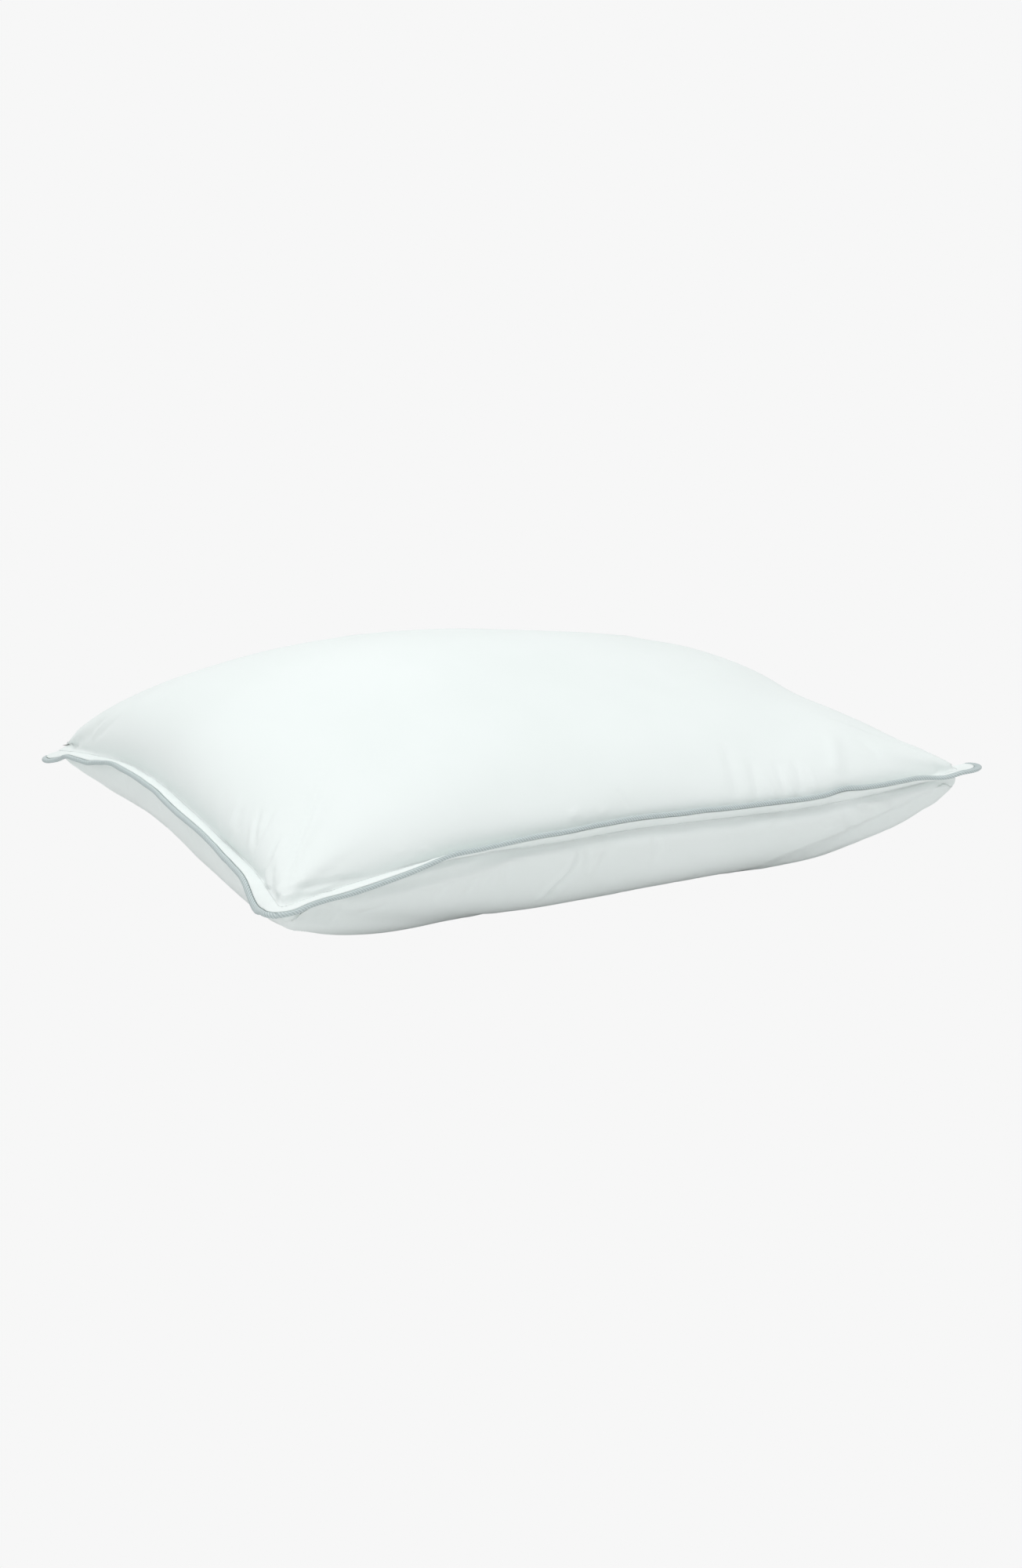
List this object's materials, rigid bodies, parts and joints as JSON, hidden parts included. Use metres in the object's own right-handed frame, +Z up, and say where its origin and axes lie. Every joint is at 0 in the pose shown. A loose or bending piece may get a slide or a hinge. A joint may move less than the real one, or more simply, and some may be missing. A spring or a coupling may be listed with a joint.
{
  "type": "bed pillow",
  "caption": "Plump rectangular bed pillow with a flat stitched flange and corded piping all round, resting on its underside.",
  "frame": {"origin": "centre of the flat patch that the pillow rests on, at the bottom centre of the whole pillow", "axes": "+X along the pillow's long side, +Y towards its back long side, +Z up"},
  "size_m": [0.6525, 0.4668, 0.1822],
  "materials": {
    "cotton_cloth": "smooth, tightly woven, faintly cool white cotton",
    "piping_cloth": "grey-blue cotton cut on the bias, fine diagonal twill",
    "loose_fill": "loose white clusters, matte",
    "cord": "soft undyed cotton cord, matte",
    "thread": "white sewing thread, slight sheen",
    "label_ribbon": "white satin ribbon, blank"
  },
  "bodies": {
    "root": {"top_panel": "cotton_cloth", "bottom_panel": "cotton_cloth", "filling": "loose_fill", "piping_cord": "cord", "piping_cover": "piping_cloth", "joining_seam_thread": "thread", "topstitch_needle_thread": "thread", "topstitch_bobbin_thread": "thread", "closing_seam_thread": "thread", "care_label": "label_ribbon"}
  },
  "joints": []
}
